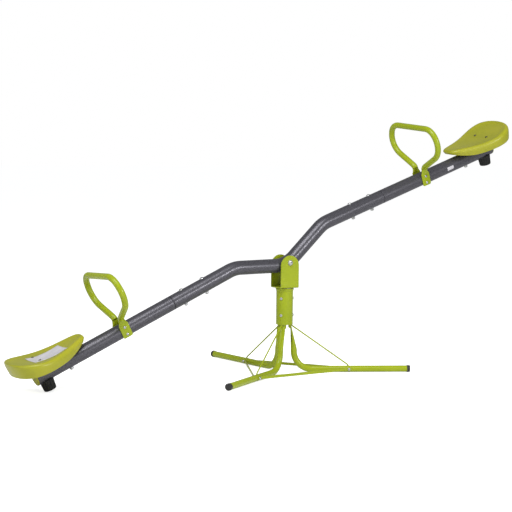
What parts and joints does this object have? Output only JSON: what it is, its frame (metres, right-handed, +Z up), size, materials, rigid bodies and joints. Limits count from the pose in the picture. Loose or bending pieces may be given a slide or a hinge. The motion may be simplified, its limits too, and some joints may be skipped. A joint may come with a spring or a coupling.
{
  "type": "seesaw",
  "caption": "Two-seat seesaw: a cranked steel beam with seats and loop handles tilts in a turning head on a three-legged base.",
  "frame": {"origin": "on the floor, under the axis of the post", "axes": "+Z up along the post; +X along the beam towards the seat that is up at rest; +Y to the far side, along the tilt bolt"},
  "size_m": [2.0618, 0.7367, 0.9347],
  "materials": {
    "lime_powder_coat": "gloss lime green powder coat",
    "grey_powder_coat": "hammered dark grey metallic powder coat",
    "lime_plastic": "semi-gloss moulded lime plastic",
    "black_rubber": "matt ribbed rubber",
    "black_plastic": "satin",
    "zinc_plate": "bright zinc plate",
    "plain_steel": "turned, oiled",
    "nylon": "natural nylon",
    "label_film": "blank white vinyl"
  },
  "bodies": {
    "base": {"leg_1": "lime_powder_coat", "leg_cap_1": "black_plastic", "brace_rod_1": "lime_powder_coat", "tie_bar_1": "lime_powder_coat", "leg_2": "lime_powder_coat", "leg_cap_2": "black_plastic", "brace_rod_2": "lime_powder_coat", "tie_bar_2": "lime_powder_coat", "leg_3": "lime_powder_coat", "leg_cap_3": "black_plastic", "brace_rod_3": "lime_powder_coat", "tie_bar_3": "lime_powder_coat", "post": "lime_powder_coat", "collar": "lime_powder_coat", "upper_bush": "nylon", "lower_bush": "nylon", "post_bolts": "zinc_plate", "post_nuts": "zinc_plate", "brace_bolts": "zinc_plate", "brace_nuts": "zinc_plate"},
    "head": {"head_bracket": "lime_powder_coat", "spindle": "plain_steel", "spindle_washer": "zinc_plate", "spindle_nut": "zinc_plate", "pivot_bolt": "zinc_plate", "pivot_washers": "zinc_plate", "pivot_nut": "zinc_plate"},
    "beam": {"centre_tube": "grey_powder_coat", "pivot_sleeve": "plain_steel", "pivot_bushes": "nylon", "joint_bolts": "zinc_plate", "joint_nuts": "zinc_plate", "handle_bolts": "zinc_plate", "handle_nuts": "zinc_plate", "seat_bolts": "zinc_plate", "seat_nuts": "zinc_plate", "seat_screws": "zinc_plate", "seat_screw_nuts": "zinc_plate", "bumper_bolts": "zinc_plate", "bumper_nuts": "zinc_plate", "seat_label": "label_film", "arm_label": "label_film", "arm_left": "grey_powder_coat", "handle_left": "lime_powder_coat", "seat_left": "lime_plastic", "seat_plate_left": "grey_powder_coat", "bumper_left": "black_rubber", "end_plug_left": "lime_plastic", "arm_right": "grey_powder_coat", "handle_right": "lime_powder_coat", "seat_right": "lime_plastic", "seat_plate_right": "grey_powder_coat", "bumper_right": "black_rubber", "end_plug_right": "lime_plastic"}
  },
  "joints": [
    {"name": "turn", "type": "hinge", "parent": "base", "child": "head", "pos_m": [0, 0, 0.3108], "axis": [0, 0, 1], "continuous": true},
    {"name": "tilt", "type": "hinge", "parent": "head", "child": "beam", "pos_m": [0, 0, 0.403], "axis": [0, 1, 0], "range_deg": [0, 44.4]}
  ]
}
